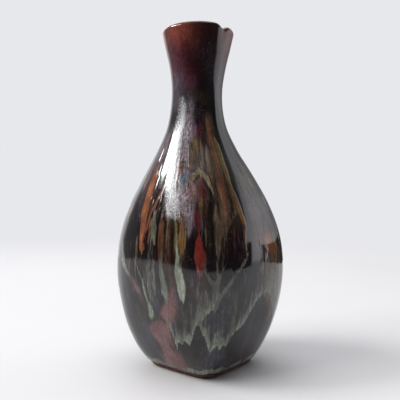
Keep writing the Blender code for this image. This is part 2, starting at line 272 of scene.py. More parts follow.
# Runs of melted glaze, painted in this order. Each has a colour and points from its top to its tip, as
# (height, azimuth, half-width in mm, strength). A weak run is thin and streaky. The usual strength is 1.
RUNS = (
    (TAN, ((146, 20, 0.8, 0.3), (138, 21, 1.8, 0.5), (130, 21, 3.2, 0.5), (120, 20, 6.0, 0.5),
      (110, 19, 7.0, 0.5), (100, 17, 8.5, 0.55), (92, 17, 8.6, 0.6), (84, 13.5, 5.0, 0.8), (78, 11.3, 2.4),
      (72, 10.4, 1.6), (68.5, 10.2, 0.4))),
    (BLACK, ((118, 15, 0.3, 0.5), (108, 14.5, 0.5, 0.7), (98, 13.5, 0.4, 0.7), (86, 11.5, 0.3, 0.5))),
    (RUST, ((147, 20, 0.6, 0.35), (138, 21, 1.5, 0.5), (128, 22.5, 1.7, 0.5), (118, 21.5, 1.1, 0.55),
      (108, 18.5, 1.3, 0.6), (98, 18, 1.4, 0.65), (88, 16, 0.6, 0.5))),
    (BLACK, ((117, 25, 0.3, 0.5), (106, 25, 0.6, 0.7), (96, 24.5, 0.5, 0.7), (88, 22, 0.3, 0.5))),
    (BROWN, ((116, 21.5, 0.6, 0.6), (104, 21.8, 0.9, 0.9), (94, 21, 0.9, 0.9), (86, 18.5, 0.5, 0.6))),
    (GOLD, ((120, 27, 0.6, 0.7), (110, 28.5, 1.0, 0.9), (100, 29.5, 1.4), (92, 31, 1.5), (86, 32.5, 1.1),
      (82, 33.5, 0.3))),
    (LIME, ((134, 27, 0.8, 0.6), (126, 30, 1.9), (120, 31, 1.9), (113, 30.5, 1.1, 0.9),
      (106, 28.5, 0.4, 0.7))),
    (BLACK, ((134, 35, 1.0, 0.8), (118, 36, 1.9), (104, 36, 2.8), (92, 37, 2.3), (80, 40, 1.2, 0.8))),
    (BLACK, ((110, 0.5, 0.5), (108.5, 4, 0.9), (105, 7.5, 1.1), (99, 8.5, 1.5), (88, 7, 1.7), (78, 7, 1.8),
      (68, 6.5, 2.2), (60, 5, 1.0, 0.6))),
    (BLACK, ((110, -0.5, 0.5), (108.5, -5, 0.8), (106, -9, 0.7, 0.9), (102, -12, 0.5, 0.7))),
    (MAUVE, ((98, -9.5, 0.4, 0.5), (90, -8, 1.6, 0.8), (82, -7, 1.6, 0.8), (76, -7, 0.5, 0.5))),
    (CRIMSON, ((109, 1, 0.8, 0.8), (104, 1.5, 1.4, 0.8), (97, 0.5, 1.2, 0.7), (90, -0.8, 2.0),
      (85, -1, 1.9), (81.5, -1, 0.7, 0.9))),
    (OLIVE, ((100, 1, 0.4, 0.5), (95, 1, 1.3, 0.8), (91, 0.8, 0.4, 0.6))),
    (BLACK, ((84, -4.5, 0.6, 0.8), (78, -5.3, 1.2), (70, -5.6, 1.3), (62, -5, 0.9, 0.8))),
    (RED, ((80, -0.8, 0.4), (76.5, -0.9, 2.1), (70, -1, 2.9), (65, -0.6, 2.5), (61.5, 0, 1.3),
      (59.5, 0.2, 0.3))),
    (BLACK, ((98, -62, 1.0, 0.6), (90, -61, 3.6), (78, -60, 4.4), (70, -59, 1.6, 0.7))),
    (TERRACOTTA, ((118, -53, 0.5, 0.6), (110, -51.5, 1.9, 0.9), (100, -49.2, 2.7), (90, -47.6, 2.7),
      (82, -46.5, 2.3), (76, -45.8, 1.9), (72, -45.5, 2.2), (69.4, -45.5, 0.5))),
    (RUST, ((108, -32, 0.4, 0.7), (103, -34.5, 0.9), (96, -38, 0.9), (90, -41, 0.8), (84, -43, 0.8),
      (77, -44.4, 0.6))),
    (MIST, ((98, -61, 0.3, 0.5), (94, -57, 0.4, 0.8), (88, -52, 0.35, 0.8), (80, -49.5, 0.3, 0.6))),
    (SAGE, ((93, -35, 0.5, 0.5), (86, -36.5, 1.9, 0.8), (80, -35.3, 2.6), (76, -33, 1.4), (73, -31.6, 0.7),
      (69.5, -30.5, 0.3, 0.9))),
    (SAGE, ((97, -29, 0.4, 0.4), (93.5, -29, 3.2, 0.6), (88, -24.5, 0.8, 0.7), (78, -23.3, 0.6, 0.7),
      (66, -22.5, 0.5, 0.6))),
    (BLACK, ((92.5, -29.3, 1.2), (86, -29, 3.0), (76, -28.4, 3.2), (66, -27.6, 2.4, 0.9),
      (60, -27, 1.0, 0.6))),
    (BROWN, ((90, -29.3, 0.5, 0.9), (84, -28.8, 1.9), (76, -28.2, 2.0), (68, -27.5, 1.5),
      (61, -26.6, 0.6, 0.6))),
    (BROWN, ((92, -22, 0.3, 0.6), (84, -21.8, 0.6), (74, -21.5, 0.6), (64, -21, 0.5, 0.7))),
    (BLACK, ((97, -20, 0.7, 0.9), (84, -19.6, 1.1), (72, -19.3, 1.1), (62, -19, 0.8, 0.7))),
    (LIME, ((91, -17, 0.3, 0.6), (83, -16.8, 0.7), (75, -16.1, 0.8), (67, -15.2, 0.8))),
    (GOLD, ((93, -13.5, 0.4, 0.6), (86, -13, 1.0), (78, -12.6, 1.2), (72, -12.8, 1.0), (68, -13, 0.3))),
    (GOLD, ((89, -9.6, 0.3, 0.6), (81, -9.8, 0.6, 0.9), (73, -10.3, 0.3, 0.9))),
    (MIST, ((88, 21, 0.4, 0.4), (80, 16.5, 0.6, 0.7), (72, 14.5, 0.6, 0.7), (64, 12.5, 0.8, 0.8))),
    (TAN, ((82, 60, 2.0, 0.5), (70, 62, 6.5, 0.7), (60, 61, 8.5, 0.85), (50, 62, 8.0, 0.85),
      (42, 64, 6.0, 0.7), (33, 69, 2.5, 0.5))),
    (TERRACOTTA, ((79, 56, 1.5, 0.9), (76, 58, 5.0), (72, 59, 4.6), (67, 62, 3.0, 0.8),
      (60, 64, 1.5, 0.5))),
    (SAGE, ((66, 67, 0.8, 0.6), (58, 67, 2.2, 0.9), (50, 67, 1.8, 0.8), (44, 67.5, 0.5, 0.6))),
    (SAGE, ((70, 52, 0.4, 0.4), (60, 53, 1.2, 0.7), (50, 54, 1.4, 0.8), (43, 54.5, 0.3, 0.8))),
    (PALE, ((68, 60, 0.4, 0.5), (58, 61, 1.1, 0.8), (50, 62, 1.3, 0.9), (44, 62.5, 0.3, 0.8))),
    (OLIVE, ((72, 71, 0.6, 0.6), (60, 72, 2.0, 0.9), (50, 73, 1.6, 0.9), (40, 74, 0.4, 0.7))),
    (GOLD, ((80, 66, 0.5, 0.5), (74, 67, 1.6, 0.8), (68, 68, 0.6, 0.7))),
    (ROSE, ((66, -20, 0.7, 0.4), (56, -18.6, 1.3, 0.8), (49, -18, 2.2, 0.9), (43, -21, 4.6),
      (38, -24, 5.6), (34, -26, 4.6, 0.9), (31, -32, 7.4), (27, -34.5, 8.4), (22, -33, 7.0),
      (17, -29, 5.0, 0.9), (12, -27.5, 6.6), (7, -28, 8.4), (2, -27, 10.4))),
    (PLUM, ((36, -31, 0.4, 0.5), (34, -30, 2.2, 0.7), (32, -27, 0.5, 0.6))),
    (PLUM, ((21, -26, 0.4, 0.5), (18.5, -24.5, 1.8, 0.7), (15, -23.5, 0.5, 0.6))),
    (TAN, ((132, -8, 0.5, 0.5), (127, -8.5, 1.3, 0.8), (119, -9, 1.1, 0.8), (114, -9.5, 0.3, 0.7))),
    (OLIVE, ((134, -4, 0.5, 0.6), (129, -4, 1.4, 0.9), (122, -4, 1.0, 0.8), (116, -4, 0.3, 0.7))),
    (GOLD, ((132, -0.5, 0.4, 0.5), (127, 0, 0.9, 0.7), (122, 0, 0.6, 0.6), (118, 0, 0.2, 0.5))),
    (TAN, ((133, 4.5, 0.4, 0.5), (127, 5.5, 1.2, 0.8), (119, 6.5, 0.8, 0.7), (113, 6.5, 0.2, 0.6))),
    (TAN, ((130, 11, 0.4, 0.4), (123, 12, 1.2, 0.7), (114, 12.5, 1.2, 0.7), (106, 12, 0.3, 0.6))),
    (CREAM, ((114.5, -1, 0.5, 0.8), (112, -3.5, 2.3, 0.85), (109.5, -7.5, 1.8, 0.85),
      (106, -10.5, 0.6, 0.7))),
    (CREAM, ((114.5, 0.5, 0.5, 0.8), (112, 3, 2.1, 0.85), (109.5, 6.5, 1.5, 0.8), (105, 9.5, 0.9, 0.7),
      (99, 11.5, 0.4, 0.6))),
    (ROSE, ((58, -60, 0.7, 0.6), (53, -54.5, 1.5, 0.9), (49, -50.5, 2.1), (45, -48, 1.2, 0.8),
      (38, -47, 0.6, 0.5))),
    (CRIMSON, ((26, 0, 0.5, 0.2), (18, 1, 1.3, 0.35), (12, 1.6, 1.7, 0.4), (7, 2, 0.8, 0.3))),
    (MIST, ((66, -37, 3.0, 0.35), (56, -36.5, 4.5, 0.45), (48, -37.5, 3.5, 0.45), (42, -38.5, 1.0, 0.3))),
    (PALE, ((78, -71, 0.6, 0.4), (70, -68.5, 1.7, 0.7), (64, -66.5, 2.6), (60, -64, 2.1), (57, -60.5, 1.3),
      (54, -57, 0.3))),
    (PALE, ((67, -54, 0.3, 0.6), (61, -48.8, 0.6, 0.9), (55, -45, 0.7, 0.9), (48, -43.3, 0.8, 0.9),
      (42, -42, 1.3), (38, -41, 2.2), (35, -41, 2.1), (32.8, -41, 0.5))),
    (ICE, ((52, -24.6, 0.3, 0.6), (48.5, -24.1, 1.3, 0.9), (46, -23.8, 0.9, 0.9),
      (44.5, -23.6, 0.3, 0.9))),
    (ICE, ((40, -41.5, 0.4, 0.6), (37.5, -41, 1.6), (35.5, -41, 1.6), (33.5, -41, 0.4))),
    (PALE, ((68, -27, 0.9, 0.35), (60, -26, 1.6, 0.6), (54, -25, 2.1, 0.85), (49, -24.2, 2.2),
      (46, -23.8, 1.3), (44, -23.6, 0.3))),
    (ICE, ((73, -15.3, 0.5, 0.6), (66, -14.6, 1.2, 0.9), (60, -13.2, 2.1), (54, -12, 2.6),
      (50, -11.2, 2.1), (47, -11, 1.1), (45.2, -11, 0.3))),
    (MIST, ((66, 1, 0.4, 0.5), (61, 3, 0.8, 0.9), (57, 5.6, 1.3), (54, 8, 1.2), (50, 8.3, 0.4, 0.8),
      (46, 8.6, 0.25, 0.7))),
    (MIST, ((66, 15.5, 0.4, 0.5), (61, 12, 0.8, 0.9), (57, 10, 1.2), (54, 8.8, 1.0))),
    (MIST, ((70, 33, 0.6, 0.5), (65, 28.5, 1.1, 0.9), (60, 22, 1.2), (55, 17, 1.2), (49, 12.2, 1.3),
      (44, 9.6, 1.6), (41, 8.7, 0.4))),
)

# Short smears: colour, azimuth, height, half-width and half-height in mm, and strength.
SMEARS = (
    # The bluish smear is painted highlight.
    (BLUISH_HIGHLIGHT, -15, 109, 2.6, 3.4, 0.8),
    (PINK, -7, 105, 2.4, 2.6, 0.7),
)

# The frayed hems of the wide curtains of glaze: azimuth, height and brightness along each, and its depth.
HEMS = (
    (((-25, 34, 0.2), (-21, 24, 0.6), (-19.3, 17.5, 0.8), (-17.5, 22, 0.5), (-14, 21.3, 1.0),
      (-11, 23.5, 0.7), (-8, 21.5, 1.0), (-6, 24.5, 0.8), (-4, 31, 0.4), (-1, 34.5, 0.4),
      (3, 38.5, 0.5), (8, 42.5, 0.8), (11, 48, 0.2)), 6.5),
    (((-3, 36, 0.2), (0, 30, 0.4), (3, 26, 0.6), (5.5, 20, 0.9), (7.3, 16, 1.0), (9, 20, 0.7),
      (12, 21, 0.6), (14, 18, 1.0), (16, 21, 0.7), (19, 20, 0.8), (22, 24, 0.6), (26, 28, 0.6),
      (30, 29, 0.8), (34, 31, 0.8), (38, 36, 0.6), (44, 42, 0.4), (52, 46, 0.4), (60, 46, 0.5),
      (68, 38, 0.5), (78, 28, 0.3)), 6.5),
)
BACK_HEM_DEPTH = 6.0
BACK_HEM_HEIGHT = 22.0
HEM_WOBBLE = 1.8
VEIL = 0.52  # cover of the thin glaze above a hem, and how many hem depths it reaches up
VEIL_REACH = 2.4
BRIGHT_DEPTH = 2.6
FRONT_MIDDLE = -6  # the front hems are drawn this many degrees to each side of this azimuth
FRONT_HALF = 83
BACK_START = 84.0
BACK_END = 282.0
ROSE_END = 250.0

# Patches of the glaze: azimuth, half-width in degrees, and the heights over which each fades in and out.
CALM_PATCHES = (
    (-12, 12, (90, 104), (162, 150)),
    (48, 22, (-2, -1), (36, 28)),
)
MATTE_PATCHES = (
    (-18, 13, (84, 92), (158, 150)),
    (-38, 12, (133, 141), (162, 154)),
)
CALM_SHARE = 0.8
RAGGED = 1.6  # height of the ragged teeth at the tips of runs
TEETH_MEAN = 0.64
TIP_TAPER = 0.35  # how much narrower a run gets per mm beyond its tip
THREAD_HALO = 0.1  # share of the older runs that a thread or a run clears beside itself
RUN_HALO = 0.5
HALO = (-1.1, -0.3)  # where edges fade, in mm inside the outline
RUN_EDGE = (-0.5, 0.6)
ROSE_EDGE = (-2.2, 2.0)
SOAKED = 0.85  # how strongly black and rose runs colour the coat itself


def waves(azimuth, counts, phase):
    """A seamless wave round the pot, made of whole numbers of turns, between about -1 and 1."""
    turn = np.radians(azimuth)
    total = sum(np.sin(count * turn + phase * (i + 1) ** 2) for i, count in enumerate(counts))
    return total / len(counts) ** 0.5


def teeth(azimuth):
    """Pointed teeth round the pot, from 0 at their tips to about 1 between them."""
    turn = np.radians(azimuth)
    return sum(np.abs(np.sin(count * turn + count)) for count in (37.0, 61.5, 101.0)) / 3


def tinted(colours, colour, share):
    """The colours with a share of another colour in them."""
    share = share[..., None]
    return colours * (1 - share) + np.array(colour) * share


def blend(under, cover, colour, share):
    """Paint a colour over a colour that covers only partly. Returns the new colour and its cover."""
    total = cover * (1 - share) + share
    weight = np.where(total > 1e-4, share / np.maximum(total, 1e-4), 0)
    return tinted(under, colour, weight), total


def tint_patch(colours, azimuth, height, spec):
    colour, centre, level, half_width, half_height, strength = spec
    across = turn_from(azimuth, centre) / half_width
    up = (height - level) / half_height
    return tinted(colours, colour, strength * np.exp(-((across**2 + up**2) ** 1.6)))


def run_shape(points, azimuth, height, radius):
    """How far inside a run each point is, in mm, and how strong the run is there."""
    full = [(*point, 1.0)[:4] for point in reversed(points)]
    heights, middles, widths, strengths = np.array(full, float).T
    middle = np.interp(height, heights, middles)
    width = np.interp(height, heights, widths)
    beyond = np.maximum(heights[0] - height, 0) + np.maximum(height - heights[-1], 0) * 0.5
    across = np.abs(turn_from(azimuth, middle)) * np.pi / 180 * radius
    return width - across - TIP_TAPER * beyond, np.interp(height, heights, strengths)


def smear_shape(spec, azimuth, height, radius):
    _, centre, level, half_width, half_height, strength = spec
    across = turn_from(azimuth, centre) * np.pi / 180 * radius
    far = np.sqrt((across / half_width) ** 2 + ((height - level) / half_height) ** 2)
    return (1 - far) * min(half_width, half_height), strength


def front_hem(edge, azimuth):
    """The height of a hem, far above the pot where there is none, and its brightness."""
    turns, heights, bright = np.array(edge, float).T
    around = turn_from(azimuth, 0)
    height = np.interp(around, turns, heights, left=2 * HEIGHT, right=2 * HEIGHT)
    return height, np.interp(around, turns, bright)


def back_hem(azimuth):
    """The same for the hem round the sides and the back, where the front hems don't reach."""
    drips = np.abs(np.sin(np.radians(azimuth * 7.5 + 9 * np.sin(np.radians(azimuth * 4))))) ** 0.6
    wave = 8 * waves(azimuth, (3, 7), 0.7) + 3 * waves(azimuth, (13, 29), 1.9)
    height = BACK_HEM_HEIGHT + wave + 13 * drips
    bright = 0.15 + 0.85 * step(0.8, 0.15, drips)
    return np.where(np.abs(turn_from(azimuth, FRONT_MIDDLE)) > FRONT_HALF, height, 2 * HEIGHT), bright


LOW_THREADS = (MIST, MOSS, MOSS, UMBER)
HIGH_THREADS = (TAN, BROWN, OLIVE, RUST, SAGE, MAUVE, TAN, BROWN)


def threads(rng):
    """Thin streaks all round the shoulder and the belly, under the larger runs."""
    made = []
    for azimuth in np.arange(0.0, 720.0, 2.3):
        low = azimuth > 360
        top = rng.uniform(50, 80) if low else rng.uniform(88, 138)
        tip = top - rng.uniform(14, 40)
        drift = rng.uniform(-1.5, 1.5)
        width = rng.uniform(0.25, 0.9 if low else 1.5)
        share = 0.5 if low else 0.8
        palette = LOW_THREADS if low else HIGH_THREADS
        colour = palette[rng.integers(len(palette))]
        middle = 0.5 * (top + tip)
        made.append((colour, ((top, azimuth, 0.2, 0.3), (middle, azimuth + drift, width, share),
                              (tip, azimuth + drift, 0.2, share))))
    return tuple(made)


def back_curtain(rng, azimuth):
    """A broad tan curtain, a dark stripe beside it with a bright run inside, and the stripe's azimuth."""
    top = rng.uniform(118, 134)
    tip = rng.uniform(62, 88)
    middle = 0.5 * (top + tip)
    width = rng.uniform(3.5, 7.0)
    curtain = (TAN, ((top, azimuth, 1.0, 0.4), (middle + 12, azimuth, width, 0.8),
                     (middle, azimuth - 1, width, 0.85), (tip + 9, azimuth - 2, 2.2),
                     (tip, azimuth - 2.5, 0.3)))
    stripe = azimuth + rng.uniform(5, 9)
    colour = (RUST, GOLD, TERRACOTTA, OLIVE)[rng.integers(4)]
    dark = (BLACK, ((top, stripe, 0.6, 0.6), (middle, stripe, 3.4), (tip - 4, stripe, 1.0, 0.8)))
    bright = (colour, ((top - 6, stripe + 1, 0.5, 0.6), (middle + 8, stripe, 1.6),
                       (middle - 6, stripe - 1, 1.9), (tip, stripe - 1, 0.3)))
    return [curtain, dark, bright], stripe


def back_drip(rng, azimuth, share):
    """A pale drip with a heavy tip, low on the belly."""
    low = rng.uniform(36, 56)
    drip = azimuth + share * rng.uniform(7, 12)
    thick = rng.uniform(1.4, 2.6)
    colour = (PALE, ICE, MIST)[rng.integers(3)]
    return (colour, ((low + 28, drip - 1.5, 0.5, 0.4), (low + 16, drip - 1, thick * 0.7, 0.7),
                     (low + 7, drip, thick), (low + 3, drip, thick * 0.8), (low, drip, 0.3)))


def back_runs(rng):
    """Runs for the sides and the back, in the manner of the front ones."""
    runs = []
    azimuth = BACK_START
    while azimuth < BACK_END:
        curtain, stripe = back_curtain(rng, azimuth)
        runs += curtain
        if rng.random() < 0.45:
            low = rng.uniform(60, 70)
            runs.append((CRIMSON, ((low + 22, stripe + 5, 0.4, 0.8), (low + 14, stripe + 5, 2.2),
                                   (low + 6, stripe + 5, 2.4), (low, stripe + 5, 0.3))))
        if rng.random() < 0.4 and azimuth < ROSE_END:
            runs.append((ROSE, ((40, stripe + 3, 0.8, 0.7), (30, stripe + 4, 5.0), (18, stripe + 2, 6.5),
                                (8, stripe, 6.0), (2, stripe, 8.0))))
        runs += [back_drip(rng, azimuth, share) for share in (0.3, 1.0)]
        azimuth += rng.uniform(15, 21)
    return tuple(runs)


def back_stains(rng):
    stains = []
    for azimuth in np.arange(92, 275, 16.0):
        colour = (TAN, PLUM, MAUVE, BROWN, TAN)[rng.integers(5)]
        height = rng.uniform(112, 136)
        stains.append((colour, azimuth, height, rng.uniform(9, 14), rng.uniform(9, 14), 0.8))
    return tuple(stains)


def neck_colours(colours, azimuth, height):
    """Towards the lip the coat thins: black, then maroon, then amber at the rim. One side stays dark."""
    uneven = height + 3.5 * waves(azimuth, (2, 5, 9), 0.9)
    dark = np.exp(-(np.abs(turn_from(azimuth, 22) / 42.0) ** 2.6))
    maroon = step(158, 174, uneven) * (1 - 0.85 * dark)
    amber = step(180, 199, uneven + 1.2 * waves(azimuth, (17, 31), 0.3)) * (1 - 0.93 * dark)
    return tinted(tinted(colours, MAROON, maroon), AMBER, amber)


def wander(azimuth, height):
    """The azimuth at which to look up a run: every run wanders a little on its way down."""
    slow = 0.5 * np.sin(height / 6.1 + 2 * np.sin(np.radians(3 * azimuth)))
    return azimuth + slow + 0.25 * np.sin(height / 2.3)


def patch(azimuth, height, spec):
    """1 inside a soft-edged patch, and 0 outside it."""
    centre, half_width, bottom, top = spec
    across = np.exp(-((turn_from(azimuth, centre) / half_width) ** 4))
    return across * step(*bottom, height) * step(*top, height)


def paint_runs(layers, shapes):
    """Paint runs one over another. Each first clears a halo. Black and rose ones soak into the coat."""
    coat, tint, cover, calm = layers
    for colour, halo, inside, strength in shapes:
        cover = cover * (1 - halo * step(*HALO, inside) * strength)
        share = step(*RUN_EDGE, inside) * strength
        if colour == ROSE:
            share = step(*ROSE_EDGE, inside) * strength
            calm = np.maximum(calm, CALM_SHARE * share)
        if colour in (BLACK, ROSE):
            cover = cover * (1 - share)
            coat = tinted(coat, colour, SOAKED * share)
        else:
            tint, cover = blend(tint, cover, colour, share)
    return coat, tint, cover, calm


def paint_hems(tint, cover, azimuth, height):
    """A veil above each hem, brighter towards it, with a bright ragged edge."""
    hems = [(front_hem(edge, azimuth), depth) for edge, depth in HEMS]
    hems.append((back_hem(azimuth), BACK_HEM_DEPTH))
    for (low, bright), depth in hems:
        above = height - low - HEM_WOBBLE * (teeth(azimuth) - 0.4)
        inside = np.maximum(above, 0)
        veil = VEIL * step(-0.4, 1.0, above) * np.exp(-inside / (VEIL_REACH * depth))
        tint, cover = blend(tint, cover, MIST, veil)
        hem = step(-0.5, 0.6, above) * np.exp(-((inside / depth) ** 2))
        tint, cover = blend(tint, cover, PALE, hem * (0.22 + 0.50 * bright))
        edge = step(-0.5, 0.4, above) * np.exp(-((inside / BRIGHT_DEPTH) ** 2))
        tint, cover = blend(tint, cover, ICE, 0.9 * edge * bright)
    return tint, cover


def paint_foot(tint, cover, azimuth, height):
    """The pale roll of glaze just above the bare foot, thin where the rose run crosses it."""
    roll = FOOT_LINE + 2.0 + 0.8 * waves(azimuth, (5, 11, 23), 1.3)
    thin = 0.8 * np.exp(-((turn_from(azimuth, -29) / 14.0) ** 4))
    foot = np.exp(-(((height - roll) / 1.7) ** 2)) * (1 - thin)
    tint, cover = blend(tint, cover, PALE, 0.95 * foot)
    return blend(tint, cover, ICE, foot * (0.45 + 0.25 * waves(azimuth, (5, 13), 2.4)))


def pattern(azimuth, height):
    """The coat's colour with its stains and its painted sheen, highlight, reflection and shade, the runs'
    colour and cover, and how matte and how calm the glaze is.
    """
    rng = np.random.default_rng(SEED)
    radius = radius_at(azimuth, height)
    swayed = wander(azimuth, height)
    ragged = height - RAGGED * (teeth(azimuth) - TEETH_MEAN)
    coat = np.broadcast_to(np.array(BLACK), azimuth.shape + (3,)).copy()
    for spec in STAINS_AND_PAINTED_LIGHT + back_stains(rng):
        coat = tint_patch(coat, swayed, height, spec)
    coat = neck_colours(coat, azimuth, height)
    for spec in NECK_STAINS_AND_REFLECTIONS:
        coat = tint_patch(coat, azimuth, height, spec)

    where = (swayed, ragged, radius)
    shapes = [(colour, THREAD_HALO, *run_shape(points, *where)) for colour, points in threads(rng)]
    shapes += [(colour, RUN_HALO, *run_shape(points, *where)) for colour, points in RUNS + back_runs(rng)]
    shapes += [(spec[0], RUN_HALO, *smear_shape(spec, *where)) for spec in SMEARS]
    calm = step(148, 164, height + 4 * waves(azimuth, (7, 13), 0.2))
    bare = np.zeros(azimuth.shape)
    coat, tint, cover, calm = paint_runs((coat, coat.copy(), bare, calm), shapes)
    tint, cover = paint_hems(tint, cover, azimuth, height)
    tint, cover = paint_foot(tint, cover, azimuth, height)

    for spec in CALM_PATCHES:
        calm = np.maximum(calm, CALM_SHARE * patch(azimuth, height, spec))
    matte = np.maximum(*[patch(azimuth, height, spec) for spec in MATTE_PATCHES])
    return {"coat": coat, "run": tint, "cover": cover, "matte": matte, "calm": calm}


def ripple(azimuth, height):
    """Soft unevenness of thick melted glaze, in mm: long upright waves, and faint rings from throwing."""
    upright = waves(azimuth + 3 * np.sin(height / 17), (11, 17, 29), 0.5)
    rings = 0.35 * np.sin(height / 1.9 + 0.8 * np.sin(np.radians(2 * azimuth))) * step(60, 90, height)
    return RIPPLE * (upright + rings) * step(176, 130, height) * step(2, 12, height)


# ---- meshes

# The azimuth of each point of a row, and the level direction from the pot's axis to it.
AROUND = np.arange(SIDES) * (360.0 / SIDES)
ROUND = np.stack([np.sin(np.radians(AROUND)), -np.cos(np.radians(AROUND)), np.zeros(SIDES)], axis=1)


def place(name, data):
    made = bpy.data.objects.new(name, data)
    bpy.context.scene.collection.objects.link(made)
    return made


def quads(lower, upper):
    """Faces between rings of points and the rings above them."""
    corners = [lower, np.roll(lower, -1, 1), np.roll(upper, -1, 1), upper]
    return np.stack(corners, axis=-1).reshape(-1, 4)


def skin(name, rows, joined, looks, material):
    """A closed skin from rows of points round the pot. joined closes the last row onto the first."""
    rows = np.asarray(rows)
    count = len(rows)
    index = np.arange(count * SIDES).reshape(count, SIDES)
    lower = index if joined else index[:-1]
    upper = np.roll(index, -1, axis=0) if joined else index[1:]
    faces = quads(lower, upper).tolist()
    if not joined:
        faces += [index[0][::-1].tolist(), index[-1].tolist()]
    mesh = bpy.data.meshes.new(name)
    mesh.from_pydata(rows.reshape(-1, 3).tolist(), [], faces)
    for key, values in looks.items():
        flat = values.ndim == 2
        layer = mesh.attributes.new(key, "FLOAT" if flat else "FLOAT_VECTOR", "POINT")
        layer.data.foreach_set("value" if flat else "vector", np.asarray(values, np.float32).ravel())
    mesh.materials.append(material)
    mesh.shade_smooth()
    mesh.set_sharp_from_angle(angle=math.radians(50))
    return place(name, mesh)


def piece(made, node):
    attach(made, "root")
    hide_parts(node)


def levels(low, high, size=RING_STEP):
    return np.linspace(low, high, max(2, int(round((high - low) / size)) + 1))


def glazed_looks(heights):
    """What the glaze material reads, for whole rows of the outside at these heights."""
    height = np.repeat(np.asarray(heights, float)[:, None], SIDES, axis=1)
    azimuth = np.broadcast_to(AROUND, height.shape)
    return {**pattern(azimuth, height), "inside": np.zeros(height.shape)}


def plain_looks(count, inside=0.0):
    """The same for rows without a pattern: hidden backs, and the inside of the pot."""
    blank = np.zeros((count, SIDES))
    coat = np.broadcast_to(np.array(BLACK), (count, SIDES, 3))
    looks = {"coat": coat, "run": coat, "inside": blank + inside}
    return {**looks, **{name: blank for name in ("cover", "matte", "calm")}}


def join_looks(*parts):
    looks = {key: np.concatenate([part[key] for part in parts]) for key in parts[0]}
    looks["round"] = np.broadcast_to(ROUND, looks["coat"].shape)
    return looks


def lip_rows(inset):
    """Rows over the rounded lip, from the outside to the inside of the pot."""
    rows = []
    radius = LIP_ROUND - inset
    for i in range(1, LIP_STEPS):
        angle = math.pi * i / LIP_STEPS
        points = ring(AROUND, HEIGHT - LIP_ROUND, LIP_ROUND - radius * math.cos(angle))
        points[:, 2] += radius * math.sin(angle) * MM
        rows.append(points)
    return rows


def floor_rows(floor, under):
    """Rows round the bottom of the inside, from the wall to the flat floor, under the liner's face."""
    rows = []
    radius = FLOOR_ROUND + under
    start = floor + radius
    for angle in range(10, 91, 10):
        turn = math.radians(angle)
        points = ring(AROUND, start, wall(start) - under + radius * (1 - math.cos(turn)))
        points[:, 2] -= radius * math.sin(turn) * MM
        rows.append(points)
    return rows


def dark_coat(material):
    heights = levels(FOOT_LINE, LIP_LINE)
    front = []
    for height in heights:
        tuck = 0.35 * step(FOOT_LINE + 1.2, FOOT_LINE, height)
        front.append(ring(AROUND, height, tuck - ripple(AROUND, height)))
    back = [ring(AROUND, height, COAT) for height in levels(FOOT_LINE, LIP_LINE, 8.0)[::-1]]
    looks = join_looks(glazed_looks(heights), plain_looks(len(back)))
    return skin("dark_glaze_coat", front + back, True, looks, material)


def run_coat(material):
    """The runs stand a little proud of the dark coat. Between them this skin lies hidden just under it."""
    heights = levels(RUN_LOW, RUN_HIGH)
    looks = glazed_looks(heights)
    front = []
    for height, cover in zip(heights, looks["cover"]):
        fade = step(RUN_LOW, RUN_LOW + 3, height) * step(RUN_HIGH, RUN_HIGH - 3, height)
        proud = (RUN_RELIEF + RUN_SINK) * step(0.12, 0.8, cover) * fade - RUN_SINK
        front.append(ring(AROUND, height, -proud - ripple(AROUND, height)))
    back = [ring(AROUND, height, RUN_BACK) for height in levels(RUN_LOW, RUN_HIGH, 8.0)[::-1]]
    looks = join_looks(looks, plain_looks(len(back)))
    return skin("run_glaze_coat", front + back, True, looks, material)


def lip_coat(material):
    heights = levels(LIP_LINE, HEIGHT - LIP_ROUND)
    front = [ring(AROUND, height, -ripple(AROUND, height)) for height in heights]
    over = lip_rows(0.0)
    down = [ring(AROUND, height, wall(height)) for height in heights[::-1]]
    back = [ring(AROUND, height, wall(height) - COAT) for height in heights[::4]]
    back += lip_rows(COAT)[::-1]
    back += [ring(AROUND, height, COAT) for height in heights[::-4]]
    over_looks = glazed_looks([HEIGHT] * len(over))
    over_looks["inside"] = over_looks["inside"] + np.linspace(0, 1, len(over))[:, None]
    hidden_looks = plain_looks(len(back))
    looks = join_looks(glazed_looks(heights), over_looks, plain_looks(len(down), 1.0), hidden_looks)
    return skin("lip_glaze_coat", front + over + down + back, True, looks, material)


def liner_coat(material):
    start = FLOOR_TOP + FLOOR_ROUND
    heights = levels(start, LIP_LINE, 3.0)[::-1]
    wet = [ring(AROUND, height, wall(height)) for height in heights] + floor_rows(FLOOR_TOP, 0.0)
    back = [ring(AROUND, height, wall(height) - LINER) for height in heights[::4]]
    back += floor_rows(FLOOR_TOP - LINER, LINER)
    rows = wet[::-1] + back
    return skin("liner_glaze_coat", rows, False, join_looks(plain_looks(len(rows), 1.0)), material)


def clay_pot(material):
    """The bare foot and the underside show. The rest of the clay lies under the glazes."""
    under = COAT + GAP
    rows = [ring(AROUND, 0.0, inset) for inset in (22.0, 14.0, 7.0, BARE + FOOT_ROUND)]
    for angle in (15, 30, 45, 60, 75, 90):
        turn = math.radians(angle)
        height = FOOT_ROUND * (1 - math.cos(turn))
        rows.append(ring(AROUND, height, BARE + FOOT_ROUND * (1 - math.sin(turn))))
    rows.append(ring(AROUND, FOOT_LINE - GAP, BARE))
    top = HEIGHT - LIP_ROUND
    rows += [ring(AROUND, height, under) for height in levels(FOOT_LINE, top, 4.0)]
    rows += lip_rows(under)
    down = levels(FLOOR_TOP + FLOOR_ROUND, top, 4.0)[::-1]
    rows += [ring(AROUND, height, wall(height) - LINER - GAP) for height in down]
    rows += floor_rows(FLOOR_TOP - LINER - GAP, LINER + GAP)
    return skin("clay_pot", rows, False, {}, material)


# ---- materials

